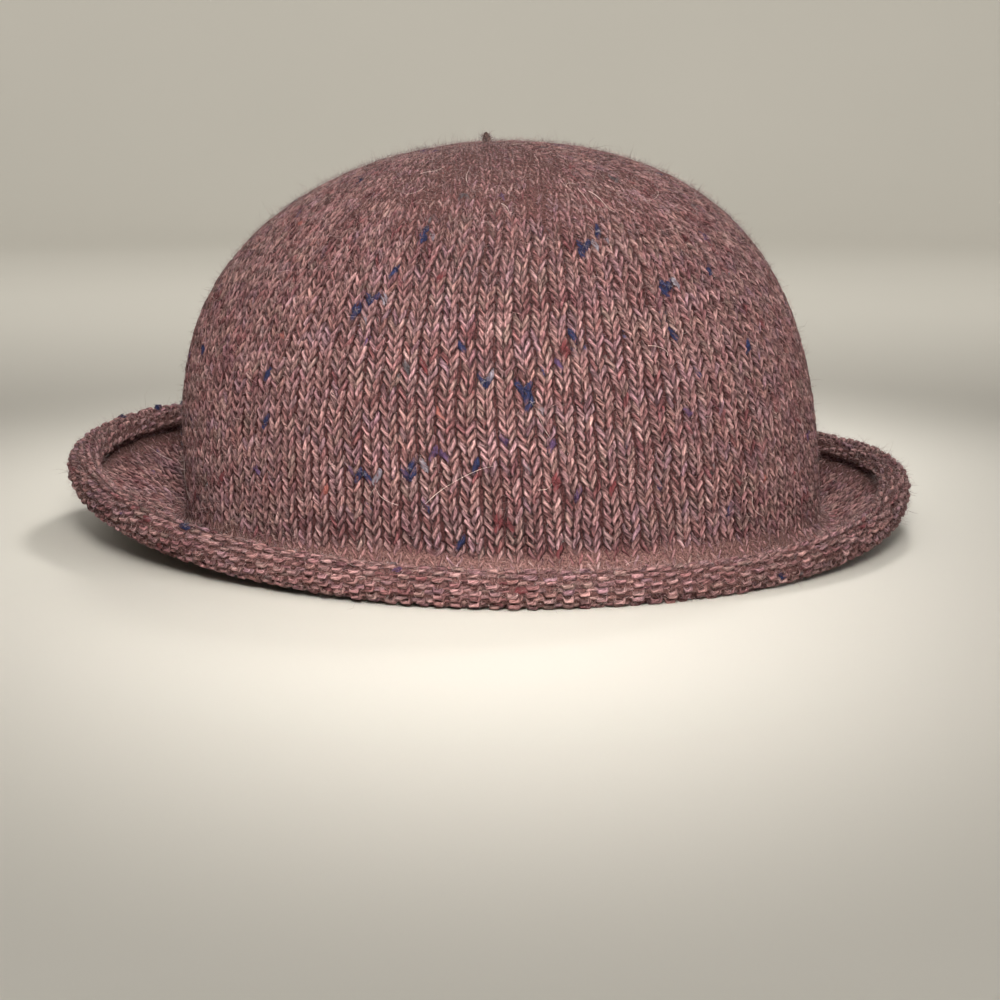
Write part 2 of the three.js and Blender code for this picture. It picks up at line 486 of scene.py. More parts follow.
def add_mesh(name, points, faces, bake_map, yarn_map=None, **colours):
    """A smooth mesh object from arrays: points in millimetres, faces of one size, UV maps by
    face corner, and colours by point."""
    mesh = bpy.data.meshes.new(name)
    count, size = faces.shape
    mesh.vertices.add(len(points))
    mesh.vertices.foreach_set("co", (points * MM).astype(np.float32).ravel())
    mesh.loops.add(count * size)
    mesh.loops.foreach_set("vertex_index", faces.astype(np.int32).ravel())
    mesh.polygons.add(count)
    mesh.polygons.foreach_set("loop_start", np.arange(count, dtype=np.int32) * size)
    mesh.update(calc_edges=True)
    mesh.shade_smooth()
    maps = {"OFBake": bake_map} if yarn_map is None else {"OFBake": bake_map, "Yarn": yarn_map}
    for map_name, corners in maps.items():
        layer = mesh.uv_layers.new(name=map_name)
        layer.uv.foreach_set("vector", corners.astype(np.float32).ravel())
    for colour_name, values in colours.items():
        layer = mesh.color_attributes.new(name=colour_name, type="FLOAT_COLOR", domain="POINT")
        layer.data.foreach_set("color", values.astype(np.float32).ravel())
    return placed(name, mesh)


def ring_faces(rings, sides):
    """Quads of a tube of closed rings that also closes on itself."""
    ring = np.arange(rings)[:, None] * sides
    side = np.arange(sides)[None, :]
    ahead, beside = np.roll(ring, -1), (side + 1) % sides
    corners = (ring + side, ring + beside, ahead + beside, ahead + side)
    return np.stack(np.broadcast_arrays(*corners), -1).reshape(-1, 4)


def tube_maps(along, sides):
    """For every face of a tube: its ring, its corners' shares of the way round, and its place
    on the yarn map."""
    count = len(along) - 1
    ring, side = np.repeat(np.arange(count), sides), np.tile(np.arange(sides), count)
    v = np.stack([side, side + 1, side + 1, side], -1) / sides
    return ring, v, np.stack([near_far(along[ring], along[ring + 1]), v], -1).reshape(-1, 2)


def yarn_piece(name, courses):
    """One mesh of several courses of yarn."""
    points, faces, yarn_map, bake_map, tints, flecks = ([] for _ in range(6))
    cells = sum(len(c["centre"]) for c in courses)
    across = math.sqrt(cells * STRIP_HEIGHT / STEP_LENGTH)
    per_line = math.ceil(across / STEPS_PER_STITCH) * STEPS_PER_STITCH
    lines = math.ceil(cells / per_line)
    cell = 0
    for c in courses:
        count = len(c["centre"])
        points.append(c["rings"].reshape(-1, 3))
        faces.append(ring_faces(count, SIDES) + cell * SIDES)
        ring, v, corners = tube_maps(c["along"], SIDES)
        yarn_map.append(corners)
        column, line = (cell + ring) % per_line, (cell + ring) // per_line
        bu = near_far(column, column + 1) / per_line
        bv = (line[:, None] + 0.1 + 0.8 * v) / lines
        bake_map.append(np.stack([bu, bv], -1).reshape(-1, 2))
        cell += count
        tint = np.repeat(c["tint"], SIDES, 0)
        # painted shade darkens the tint on the rings' deeper corners
        tint[:, :3] *= c["depth_shade"].reshape(-1, 1)
        tints.append(tint)
        flecks.append(np.repeat(c["fleck"], SIDES, 0))
    parts = [np.concatenate(part) for part in (points, faces, bake_map, yarn_map, tints, flecks)]
    return add_mesh(name, *parts[:4], Tint=parts[4], Fleck=parts[5])


def seen_at(points):
    """Where points, in millimetres, fall on the photograph, in its pixels."""
    pitch = math.radians(CAMERA_PITCH)
    forward = np.array([0, math.cos(pitch), -math.sin(pitch)])
    upward = np.array([0, math.sin(pitch), math.cos(pitch)])
    away = points - np.array(CAMERA_PLACE)
    depth = away @ forward
    focal = PICTURE_WIDTH * CAMERA_LENS / SENSOR_WIDTH
    across = PICTURE_WIDTH / 2 + focal * away[..., 0] / depth
    down = PICTURE_WIDTH / 2 - focal * (away @ upward) / depth
    return np.stack([across, down], -1)


# Tweed colours, linear
STUB_TINT = (0.17, 0.105, 0.09)
TINTS = (
    (0.315, 0.165, 0.165), (0.42, 0.25, 0.24), (0.26, 0.118, 0.12), (0.29, 0.168, 0.20),
    (0.27, 0.175, 0.155), (0.35, 0.19, 0.17), (0.165, 0.05, 0.055),
)
NAVY = (0.016, 0.019, 0.05)
VIOLET = (0.055, 0.03, 0.065)
MAROON = (0.095, 0.024, 0.026)
CORAL = (0.17, 0.055, 0.046)
SLATE = (0.07, 0.06, 0.065)
LAVENDER = (0.14, 0.12, 0.14)

# The larger flecks of the front: pixels across and down the photograph, colour, legs covered
PHOTO_FLECKS = (
    (363, 181, NAVY, 1), (422, 154, VIOLET, 2), (463, 196, SLATE, 2), (500, 195, VIOLET, 1),
    (426, 235, NAVY, 2), (598, 231, NAVY, 2), (584, 252, NAVY, 3), (664, 289, NAVY, 3),
    (710, 272, NAVY, 1), (615, 181, SLATE, 2), (397, 272, NAVY, 1), (371, 297, NAVY, 2),
    (354, 312, NAVY, 2), (463, 346, NAVY, 1), (572, 335, NAVY, 1), (555, 361, VIOLET, 1),
    (529, 393, NAVY, 4), (487, 384, NAVY, 2), (409, 364, SLATE, 1), (673, 335, NAVY, 1),
    (747, 347, NAVY, 1), (205, 351, NAVY, 1), (268, 376, NAVY, 1), (268, 415, NAVY, 1),
    (690, 415, VIOLET, 1), (360, 476, NAVY, 2), (410, 473, NAVY, 3), (440, 456, VIOLET, 2),
    (478, 459, NAVY, 1), (506, 442, VIOLET, 1), (555, 444, VIOLET, 1), (575, 496, VIOLET, 1),
    (187, 526, NAVY, 3), (463, 536, NAVY, 1), (779, 571, NAVY, 2), (323, 491, CORAL, 1),
    (564, 347, MAROON, 2), (503, 524, MAROON, 3), (556, 482, MAROON, 2),
)
LOOSE_FLECKS = 380
BOLD_FLECKS = 56
FLECK_FIBRES = 12


def colour_yarn(courses):
    """Gives every step of the yarn a tint and a fleck, whose fourth value is its strength."""
    tints = np.array(TINTS)
    for c in courses:
        count = len(c["centre"])
        steps = np.arange(count)
        c["tint"] = np.ones((count, 4))
        c["fleck"] = np.zeros((count, 4))
        knots = max(int(c["along"][-1] - c["along"][0]) // 13, 4)
        mix = rng.dirichlet([0.3] * len(tints), knots)
        mix[-1] = mix[0]
        place = steps / count * (knots - 1)
        low = np.floor(place).astype(int)
        high = np.minimum(low + 1, knots - 1)
        share = smooth(place - low)[:, None]
        c["tint"][:, :3] = (mix[low] * (1 - share) + mix[high] * share) @ tints
        shade = rng.uniform(0.78, 1.22, knots)
        c["tint"][:, :3] *= (shade[low] + (shade[high] - shade[low]) * share[:, 0])[:, None]
        c["thick"] = np.ones(count)

    owner = np.concatenate([np.full(len(c["centre"]), i) for i, c in enumerate(courses)])
    step = np.concatenate([np.arange(len(c["centre"])) for c in courses])
    centre, normal = joined(courses, "centre"), joined(courses, "normal")
    on_face = joined(courses, "outward") > LOOP_DEPTH * 0.4
    on_roll = owner >= len(courses) - PURL_COURSES
    facing = np.sum(normal * (np.array(CAMERA_PLACE) - centre), -1)
    facing = np.where(on_roll, -facing, facing)
    shown = (facing > 0) & (on_face != on_roll) & (centre[:, 1] < FARTHEST_SEEN)
    pixels = seen_at(centre)

    def paint(at, colour, steps, aside=0, boldness=1.25):
        c = courses[owner[at]]
        count = len(c["centre"])
        reach = np.arange(-steps, steps + 1)
        strength = np.clip(boldness * (1 - np.abs(reach) / (steps + 1)), 0, 1)
        into = (step[at] + aside + reach) % count
        c["fleck"][into, :3] = colour
        c["fleck"][into, 3] = np.maximum(c["fleck"][into, 3], strength)
        c["thick"][into] = 1 + 0.22 * strength

    tufts = []

    def sprout(at, colour):
        face = -1 if on_roll[at] else 1
        tufts.append((centre[at], normal[at] * face, colour))

    for across, down, colour, legs in PHOTO_FLECKS:
        gap = np.hypot((pixels[:, 0] - across) * 1.15, pixels[:, 1] - down)
        gap = np.where(shown, gap, np.inf)
        done = []
        for at in np.argsort(gap)[:120]:
            leg = (owner[at], step[at] * 2 // STEPS_PER_STITCH)
            if leg not in done:
                done.append(leg)
                paint(at, colour, 1, 0, 1.25 if colour is NAVY else 0.9)
                sprout(at, colour)
            if len(done) == legs:
                if colour is NAVY and legs > 1:
                    paint(at, LAVENDER, 1, 4)
                    sprout(at, LAVENDER)
                break
    kinds = (NAVY, NAVY, VIOLET, VIOLET, *[MAROON] * 5, SLATE, SLATE, CORAL)
    for at in rng.integers(0, len(owner), LOOSE_FLECKS):
        colour = kinds[rng.integers(len(kinds))]
        in_front = shown[at] and colour in (NAVY, CORAL, SLATE)
        if not in_front:
            paint(at, colour, int(rng.integers(1, 3)), 0, rng.uniform(0.45, 1.05))
            if colour in (NAVY, VIOLET) and on_face[at] != on_roll[at]:
                sprout(at, colour)
    # the rest of the hat has bold flecks too, as close together as on the front
    away = np.flatnonzero(~shown & (on_face != on_roll) & (centre[:, 1] > 0))
    for at in rng.choice(away, BOLD_FLECKS):
        colour = NAVY if rng.random() < 0.75 else VIOLET
        paint(at, colour, 1)
        sprout(at, colour)
    return tufts


def felted_core(fabric):
    """A thin closed sheet of matted wool in the middle of the fabric, seen only between the
    stitches. Where it lies deep it is coloured nearly black, as painted shade in the gaps.
    """
    bearings = np.arange(0, 360, 5.0)
    wide_rows = np.arange(1.5, fabric.rows - 24, 1.5)
    near_rows = np.arange(fabric.rows - 23.5, fabric.rows - 0.4, 0.75)
    rows = np.concatenate([[0.6], wide_rows, near_rows])
    grid_b, grid_r = np.meshgrid(bearings, rows, indexing="ij")
    point, outward = fabric.at(grid_b, grid_r)
    # the cloth is matted nearly up to its face in the fold at the crown's foot, on the
    # crown's top and on the roll
    radius = np.linalg.norm(point[..., :2] - fabric.axis, axis=-1)
    ragged = rng.uniform(-1, 1, radius.shape)
    in_fold = smooth((MATTED_HEIGHT + ragged - point[..., 2]) / 3.5)
    in_fold = in_fold * smooth((WALL + 7 - radius) / 3)
    on_top = smooth((82 - radius) / 30) * (grid_r < fabric.rows / 2)
    from_edge = fabric.rows - grid_r
    on_roll = smooth((CURLED_ROWS - from_edge) / 3)
    # wool fills the gap between the roll's inner end and the brim beside it
    in_gap = smooth((GAP_ROWS - from_edge) / 1.5) * smooth((from_edge - PURL_ROWS) / 1.5)
    at_end = smooth((2.5 - from_edge) / 1.5)
    outer_rise = 0.16 + np.maximum(in_fold, 0.9 * in_gap) * (1.0 + 0.16 * ragged)
    outer_rise = outer_rise + on_top * (0.7 + 0.2 * ragged)
    inner_rise = 0.16 + on_roll * (0.45 + 0.25 * ragged) + 0.65 * at_end
    sheets = [point + outward * outer_rise[..., None], point - outward * inner_rise[..., None]]
    across, down = grid_b.shape
    points = np.concatenate([s.reshape(-1, 3) for s in sheets])
    points[:, 2] = np.maximum(points[:, 2], LOWEST_FELT)
    own = np.arange(across) * down
    beside = np.roll(own, -1)
    start, next_start = own[:, None] + np.arange(down - 1), beside[:, None] + np.arange(down - 1)
    outer = np.stack([start, start + 1, next_start + 1, next_start], -1).reshape(-1, 4)
    second, last = across * down, down - 1
    top = np.stack([own, beside, beside + second, own + second], -1)
    edge = np.stack([own, own + second, beside + second, beside], -1) + last
    faces = np.concatenate([outer, outer[:, ::-1] + second, top, edge])
    # the Matted share gives the sheet the wool's own colour where it is matted near the face, and
    # painted shade elsewhere
    outer_matted = np.maximum(in_fold, 0.75 * in_gap) + 0.45 * on_top
    matted = np.concatenate([outer_matted.ravel(), (0.42 * on_roll + 0.3 * at_end).ravel()])
    matted = np.tile(matted[:, None], (1, 4))
    # the bake map has the outer sheet on the left, the inner one on the right and the two
    # edges above them
    far, low = np.array([0, 0, 1, 1]), np.array([0, 1, 1, 0])
    across_b = (np.arange(across)[:, None, None] + np.tile(far, (down - 1, 1))) / across
    down_r = (np.arange(down - 1)[:, None] + np.tile(low, (across, 1, 1))) / (down - 1)
    left = np.stack([0.01 + 0.48 * across_b, 0.01 + 0.9 * down_r], -1).reshape(-1, 4, 2)
    right = left[:, ::-1] + (0.5, 0)
    place = np.arange(across)[:, None]
    top_u, edge_u = 0.01 + 0.98 * (place + low) / across, 0.01 + 0.98 * (place + far) / across
    upper = np.stack([top_u, 0.92 + 0.03 * np.tile(far, (across, 1))], -1)
    lower = np.stack([edge_u, 0.96 + 0.03 * np.tile(low, (across, 1))], -1)
    bake = np.concatenate([left, right, upper, lower]).reshape(-1, 2)
    return add_mesh("felted_core", points, faces, bake, Matted=matted)


# A direction that no fibre follows, and how much of its width a fibre loses towards its tip
SIDEWAYS = (0.31, 0.87, 0.38)
TAPER = 0.75


def add_fibres(name, paths, widths, lowest=LOWEST_FIBRE, tint=None):
    """A mesh of tapered three-sided fibres, closed at both ends. Paths has a row of points
    for each, and the last one is its tip."""
    paths[..., 2] = np.maximum(paths[..., 2], lowest)
    count, steps = paths.shape[:2]
    tangent = unit(np.gradient(paths, axis=1))
    side = unit(np.cross(tangent, SIDEWAYS))
    up = np.cross(side, tangent)
    taper = (1 - TAPER * np.linspace(0, 1, steps))[None, :, None, None]
    rings = paths[:, :, None] + spokes(side, up, 3) * taper * widths[:, None, None, None] / 2
    body = rings[:, :-1].reshape(count, -1, 3)
    points = np.concatenate([body, paths[:, -1:]], 1)
    faces = [(0, 2, 1)]
    for i in range(steps - 2):
        for s in range(3):
            a, b = i * 3 + s, i * 3 + (s + 1) % 3
            faces += [(a, b, b + 3), (a, b + 3, a + 3)]
    tip = (steps - 1) * 3
    faces += [(tip - 3 + s, tip - 3 + (s + 1) % 3, tip) for s in range(3)]
    # each fibre has its own cell of the bake map, with a strip for each of its faces
    side = math.ceil(math.sqrt(count))
    cell, strip = np.arange(count)[:, None, None], np.arange(len(faces))[None, :, None]
    across = (cell % side + (strip + np.array([0.1, 0.9, 0.5])) / len(faces)) / side
    down = (cell // side + 0.0 * strip + np.array([0.1, 0.1, 0.9])) / side
    bake = np.stack([across, down], -1).reshape(-1, 2)
    faces = np.array(faces)[None] + (np.arange(count) * (tip + 1))[:, None, None]
    colours = {}
    if tint is not None:
        colours["Tint"] = np.repeat(np.concatenate([tint, np.ones((count, 1))], 1), tip + 1, 0)
    return add_mesh(name, points.reshape(-1, 3), faces.reshape(-1, 3), bake, **colours)


def along_face(outward):
    """A random direction along the cloth for each outward direction."""
    drift = rng.normal(size=outward.shape)
    drift -= outward * np.sum(drift * outward, -1, keepdims=True)
    return unit(drift)


def fleck_fibres(tufts):
    """Short curled fibres that stand out of the larger flecks, in the flecks' colours."""
    place, outward, colour = (np.repeat(part, FLECK_FIBRES, 0) for part in zip(*tufts))
    count = len(place)
    drift = along_face(outward)
    root = place + outward * rng.uniform(0.35, 0.8, (count, 1))
    root = root - drift * rng.uniform(0, 1.0, (count, 1))
    bend = np.cross(drift, outward) * rng.uniform(-0.9, 0.9, (count, 1))
    length = rng.uniform(0.8, 2.0, (count, 1))
    rise = rng.uniform(0.1, 0.5, (count, 1))
    middle = root + (drift + outward * rise) * length / 2
    tip = middle + (drift + outward * (rise - 0.4) + bend) * length / 2
    widths = rng.uniform(0.1, 0.2, count)
    tint = colour * rng.uniform(0.7, 1.6, (count, 1))
    paths = np.stack([root, middle, tip], 1)
    return add_fibres("fleck_fibres", paths, widths, LOWEST_FLECK_FIBRE, tint)


def fuzz(fabric, name, count, length_mean, steps):
    """Loose fibres all over the cloth, mostly nearly flat. There are more of them on the
    crown's top and near the brim's edge."""
    radius = fabric.radius.mean(0)
    rows = np.linspace(0, fabric.rows, len(radius))
    near_edge = smooth((rows - fabric.rows + GAP_ROWS) / 3)
    weight = radius * (1 + 2.6 * smooth((88 - radius) / 30) + 1.8 * near_edge)
    spread = np.cumsum(weight) / weight.sum()
    row = np.interp(rng.random(count), spread, rows)
    bearing = rng.uniform(0, 360, count)
    point, outward = fabric.at(bearing, row)
    outer = np.where(row > fabric.rows - PURL_ROWS, -1.0, 1.0)
    inside = rng.random(count) < INSIDE_SHARE
    outward = outward * np.where(inside, -outer, outer)[:, None]
    root = point + outward * rng.uniform(1.0, 1.6, (count, 1))
    drift = along_face(outward)
    length = rng.gamma(4.0, length_mean / 4, (count, 1)) + 0.6
    upright = rng.random((count, 1)) < UPRIGHT_SHARE
    standing, lying = rng.uniform(0.4, 1.0, (count, 1)), rng.uniform(0.03, 0.5, (count, 1))
    rise = np.where(upright, standing, lying)
    bend = np.cross(drift, outward) * rng.uniform(-0.8, 0.8, (count, 1))
    paths = [root]
    for i in range(steps):
        way = drift * (1 - rise) + outward * (rise - 0.25 * i) + bend * i
        paths.append(paths[-1] + way * length / steps)
    return add_fibres(name, np.stack(paths, 1), rng.uniform(0.045, 0.085, count))


# Long pale hairs that show at the front: pixels across and down at both ends
PHOTO_HAIRS = (
    (426, 502, 500, 465), (742, 593, 775, 585), (577, 192, 597, 218), (588, 195, 613, 218),
    (503, 210, 512, 218), (422, 178, 446, 170), (467, 188, 472, 172), (564, 192, 577, 191),
)


def guard_hairs(fabric, courses, count):
    """Long pale hairs that lie on the cloth."""
    centre, normal = joined(courses, "centre"), joined(courses, "normal")
    bearing, row = joined(courses, "bearing"), joined(courses, "row")
    shown = np.sum(normal * (np.array(CAMERA_PLACE) - centre), -1) > 0
    shown &= centre[:, 1] < FARTHEST_SEEN
    pixels = seen_at(centre)
    steps = np.linspace(0, 1, 13)
    grid_radius = fabric.radius[0]
    grid_rows = np.arange(len(grid_radius)) / fabric.PER_ROW
    paths, widths = [], []

    def nearest(across, down):
        gap = np.where(shown, np.hypot(pixels[:, 0] - across, pixels[:, 1] - down), np.inf)
        at = int(np.argmin(gap))
        return bearing[at], row[at]

    def lay(start, end, bow, lift, width):
        b = start[0] + short_way(end[0] - start[0]) * steps
        r = start[1] + (end[1] - start[1]) * steps
        b = b + bow * np.sin(math.pi * steps) + 0.3 * bow * np.sin(2.6 * math.pi * steps)
        r = r + bow * 0.9 * np.sin(math.pi * steps**1.3)
        point, outward = fabric.at(b, r)
        height = 1.8 + 0.2 * np.sin(math.pi * steps * 2) + lift * steps**2
        side = 1 if r.max() < fabric.rows - PURL_ROWS else -1
        paths.append(point + outward * (side * height)[:, None])
        widths.append(width)

    for x0, y0, x1, y1 in PHOTO_HAIRS:
        lay(nearest(x0, y0), nearest(x1, y1), rng.uniform(-0.9, 0.9), 0.4, 0.14)
    for _ in range(count):
        start = (rng.uniform(0, 360), rng.uniform(6, fabric.rows - 12))
        turn = rng.uniform(0, 2 * math.pi)
        length = rng.uniform(4, 13)
        radius = float(np.interp(start[1], grid_rows, grid_radius))
        end_row = start[1] + length * math.sin(turn) / WALL_ROW
        end_row = float(np.clip(end_row, 2, fabric.rows - CURLED_ROWS))
        end = (start[0] + math.degrees(length * math.cos(turn) / radius), end_row)
        lay(start, end, rng.uniform(-3, 3), rng.uniform(0, 1.6), rng.uniform(0.08, 0.12))
    return add_fibres("guard_hairs", np.array(paths), np.array(widths))


def stub_yarn(middle, foot, tip):
    """The short doubled end of yarn at the top of the crown."""
    base, top = foot - 1.6, tip - 1.1
    turn = np.linspace(-math.pi / 2, 3 * math.pi / 2, 28, endpoint=False)
    height = 0.5 + 0.5 * np.sin(turn)
    twist = 1.1 * height - 0.3
    apart = 0.62 * np.cos(turn) * (1.35 - 0.75 * height)
    x = middle[0] + apart * np.cos(twist) - 0.2 * height**2
    y = middle[1] + apart * np.sin(twist)
    z = base + (top - base) * height
    centre = np.stack([x, y, z], -1)
    along, tangent = closed_line(centre)
    up = unit(np.cross(tangent, (0, 1.0, 0)))
    side = np.cross(tangent, up)
    rings = centre[:, None] + (0.78 - 0.3 * height)[:, None, None] * spokes(up, side, STUB_SIDES)
    count = len(centre)
    ring, v, yarn_map = tube_maps(along, STUB_SIDES)
    bake = np.stack([near_far(ring, ring + 1) / count, v], -1).reshape(-1, 2)
    tint = np.tile(np.array([*STUB_TINT, 1.0]), (count * STUB_SIDES, 1))
    fleck = np.zeros((count * STUB_SIDES, 4))
    faces = ring_faces(count, STUB_SIDES)[:, ::-1]
    return add_mesh("yarn_end", rings.reshape(-1, 3), faces, bake, yarn_map, Tint=tint, Fleck=fleck)


def stub_fuzz(middle, foot):
    """Fine fibres that stand off the yarn's end."""
    height = rng.random(STUB_FIBRES)
    turn = rng.uniform(0, 2 * math.pi, STUB_FIBRES)
    cosine, sine = np.cos(turn), np.sin(turn)
    outward = unit(np.stack([cosine, sine, 0.2 + 0.9 * height], -1))
    width = 1.35 - 0.7 * height
    level = foot - 0.6 + height * 2.0
    root = np.stack([middle[0] + width * cosine, middle[1] + width * sine, level], -1)
    length = rng.uniform(0.7, 1.9, (STUB_FIBRES, 1))
    halfway = root + outward * length / 2
    tip = halfway + (outward + 0.8 * rng.normal(size=outward.shape)) * length / 2
    paths = np.stack([root - outward * 0.4, halfway, tip], 1)
    return add_fibres("yarn_end_fuzz", paths, rng.uniform(0.06, 0.11, STUB_FIBRES))


class Nodes:
    """Short calls for building a material's node tree."""

    def __init__(self, name):
        self.material = bpy.data.materials.new(name)
        self.material.use_nodes = True
        self.tree = self.material.node_tree
        self.tree.nodes.clear()

    def add(self, kind, inputs=(), **settings):
        """A node whose inputs are set to values or linked to other nodes."""
        node = self.tree.nodes.new(kind)
        for key, value in settings.items():
            setattr(node, key, value)
        for key, value in dict(inputs).items():
            if isinstance(value, bpy.types.NodeSocket):
                self.tree.links.new(value, node.inputs[key])
            else:
                node.inputs[key].default_value = value
        return node

    def math(self, operation, first, second=0.0):
        return self.add("ShaderNodeMath", {0: first, 1: second}, operation=operation).outputs[0]

    def mix(self, share, first, second, blend="MIX"):
        inputs = {0: share, 6: first, 7: second}
        return self.add("ShaderNodeMix", inputs, data_type="RGBA", blend_type=blend).outputs[2]

    def times(self, first, second):
        return self.mix(1.0, first, second, "MULTIPLY")

    def noise(self, scale, detail, roughness=0.5):
        """Noise all through the object, by its metres."""
        place = self.add("ShaderNodeTexCoord").outputs["Object"]
        inputs = {"Vector": place, "Scale": scale, "Detail": detail, "Roughness": roughness}
        return self.add("ShaderNodeTexNoise", inputs).outputs[0]

    def painted(self, layer):
        """The colour and the fourth value of a mesh's own colours."""
        return self.add("ShaderNodeVertexColor", layer_name=layer).outputs[:]

    def remap(self, value, low, high, new_low=0.0, new_high=1.0, kind="LINEAR"):
        """A value moved from one range to another."""
        inputs = {0: value, 1: low, 2: high, 3: new_low, 4: new_high}
        return self.add("ShaderNodeMapRange", inputs, interpolation_type=kind).outputs[0]

    def grey(self, value):
        return self.add("ShaderNodeCombineColor", {0: value, 1: value, 2: value}).outputs[0]

    def finish(self, inputs):
        """Ends the tree with a surface shader."""
        shader = self.add("ShaderNodeBsdfPrincipled", inputs)
        self.add("ShaderNodeOutputMaterial", {"Surface": shader.outputs[0]})
        return self.material


def yarn_material():
    """Tweed wool: twisted plies with painted shade in the valley between them, fine streaks of
    paler and darker fibre, tints (darkened by painted shade where the knitted yarn lies deep)
    and flecks.
    """
    n = Nodes("tweed_wool")
    uv = n.add("ShaderNodeUVMap", uv_map="Yarn")
    place = n.add("ShaderNodeSeparateXYZ", {0: uv.outputs[0]})
    along, around = place.outputs[0], place.outputs[1]
    # two plies twist round each other, and the fibres follow them
    turned = n.math("ADD", around, n.math("MULTIPLY", along, 0.10))
    angle = n.math("MULTIPLY", turned, 2 * math.pi)
    cosine, sine = n.math("COSINE", angle), n.math("SINE", angle)
    fibre_inputs = {0: cosine, 1: sine, 2: n.math("MULTIPLY", along, 0.34)}
    fibre_place = n.add("ShaderNodeCombineXYZ", fibre_inputs).outputs[0]
    grain = {"Scale": 1.5, "Detail": 3.0, "Roughness": 0.72, "Distortion": 0.4}
    fibres = n.add("ShaderNodeTexNoise", {"Vector": fibre_place, **grain}).outputs[0]
    ply = n.math("COSINE", n.math("MULTIPLY", turned, 4 * math.pi))
    streaks = n.add("ShaderNodeValToRGB", {0: fibres})
    ramp = streaks.color_ramp
    ramp.elements[0].position, ramp.elements[0].color = 0.32, (0.16, 0.10, 0.11, 1)
    ramp.elements[1].position, ramp.elements[1].color = 0.70, (2.7, 2.95, 2.85, 1)
    ramp.elements.new(0.43).color = (0.6, 0.52, 0.52, 1)
    ramp.elements.new(0.52).color = (1.0, 1.0, 1.0, 1)
    ramp.elements.new(0.60).color = (1.6, 1.66, 1.62, 1)
    streak = streaks.outputs[0]
    # painted shade: the colour is darker in the valley between the plies
    wool = n.times(n.painted("Tint")[0], streak)
    wool = n.times(wool, n.grey(n.remap(ply, -1.0, 0.2, 0.45, 1.0)))
    fleck, strength = n.painted("Fleck")
    ragged = n.math("ADD", strength, n.math("MULTIPLY", n.math("SUBTRACT", fibres, 0.5), 4.0))
    cover = n.remap(ragged, 0.4, 0.72, kind="SMOOTHSTEP")
    colour = n.mix(cover, wool, n.mix(0.7, fleck, n.times(fleck, streak)))
    height = n.math("ADD", n.math("MULTIPLY", ply, 0.5), n.math("MULTIPLY", fibres, 1.3))
    bump = n.add("ShaderNodeBump", {"Strength": 0.8, "Distance": 0.14 * MM, "Height": height})
    surface = {"Base Color": colour, "Roughness": 0.95, "Specular IOR Level": 0.1}
    sheen = {"Sheen Weight": 0.02, "Sheen Roughness": 0.45, "Sheen Tint": (1.0, 0.86, 0.83, 1)}
    return n.finish({**surface, **sheen, "Normal": bump.outputs[0]})


def felt_material():
    """The matted wool between the stitches: nearly black painted shade where it lies deep,
    and the wool's own colour where it is matted up near the face.
    """
    n = Nodes("matted_wool")
    mat = n.noise(1900.0, 4.0, 0.7)
    share = n.remap(mat, 0.36, 0.64)
    # painted shade: the sheet's deep parts are coloured nearly black for the gaps between stitches
    deep_painted_shade = n.mix(share, (0.012, 0.004, 0.004, 1), (0.085, 0.034, 0.033, 1))
    raised = n.mix(share, (0.035, 0.014, 0.013, 1), (0.23, 0.125, 0.112, 1))
    colour = n.mix(n.painted("Matted")[0], deep_painted_shade, raised)
    bump = n.add("ShaderNodeBump", {"Strength": 0.6, "Distance": 0.2 * MM, "Height": mat})
    surface = {"Base Color": colour, "Roughness": 1.0, "Specular IOR Level": 0.1}
    return n.finish({**surface, "Normal": bump.outputs[0]})


def fibre_material(name, dark, pale, scale):
    """Loose fibres, each a little different."""
    n = Nodes(name)
    colour = n.add("ShaderNodeValToRGB", {0: n.noise(scale, 1.0)})
    ends = colour.color_ramp.elements
    ends[0].position, ends[0].color = 0.35, (*dark, 1)
    ends[1].position, ends[1].color = 0.65, (*pale, 1)
    surface = {"Roughness": 0.8, "Specular IOR Level": 0.25, "Sheen Weight": 0.3}
    return n.finish({"Base Color": colour.outputs[0], **surface})


def fleck_fibre_material():
    """Fibres in the colour of the fleck that they come from."""
    n = Nodes("fleck_fibre")
    shade = n.grey(n.remap(n.noise(900.0, 1.0), 0.3, 0.7, 0.7, 1.5))
    colour = n.times(n.painted("Tint")[0], shade)
    return n.finish({"Base Color": colour, "Roughness": 0.85, "Specular IOR Level": 0.2})


def stage_material():
    """A pale matt surface with faint clouding."""
    n = Nodes("plain_stage")
    colour = n.mix(n.noise(3.0, 2.0), (0.56, 0.54, 0.485, 1), (0.60, 0.575, 0.52, 1))
    return n.finish({"Base Color": colour, "Roughness": 0.6, "Specular IOR Level": 0.3})


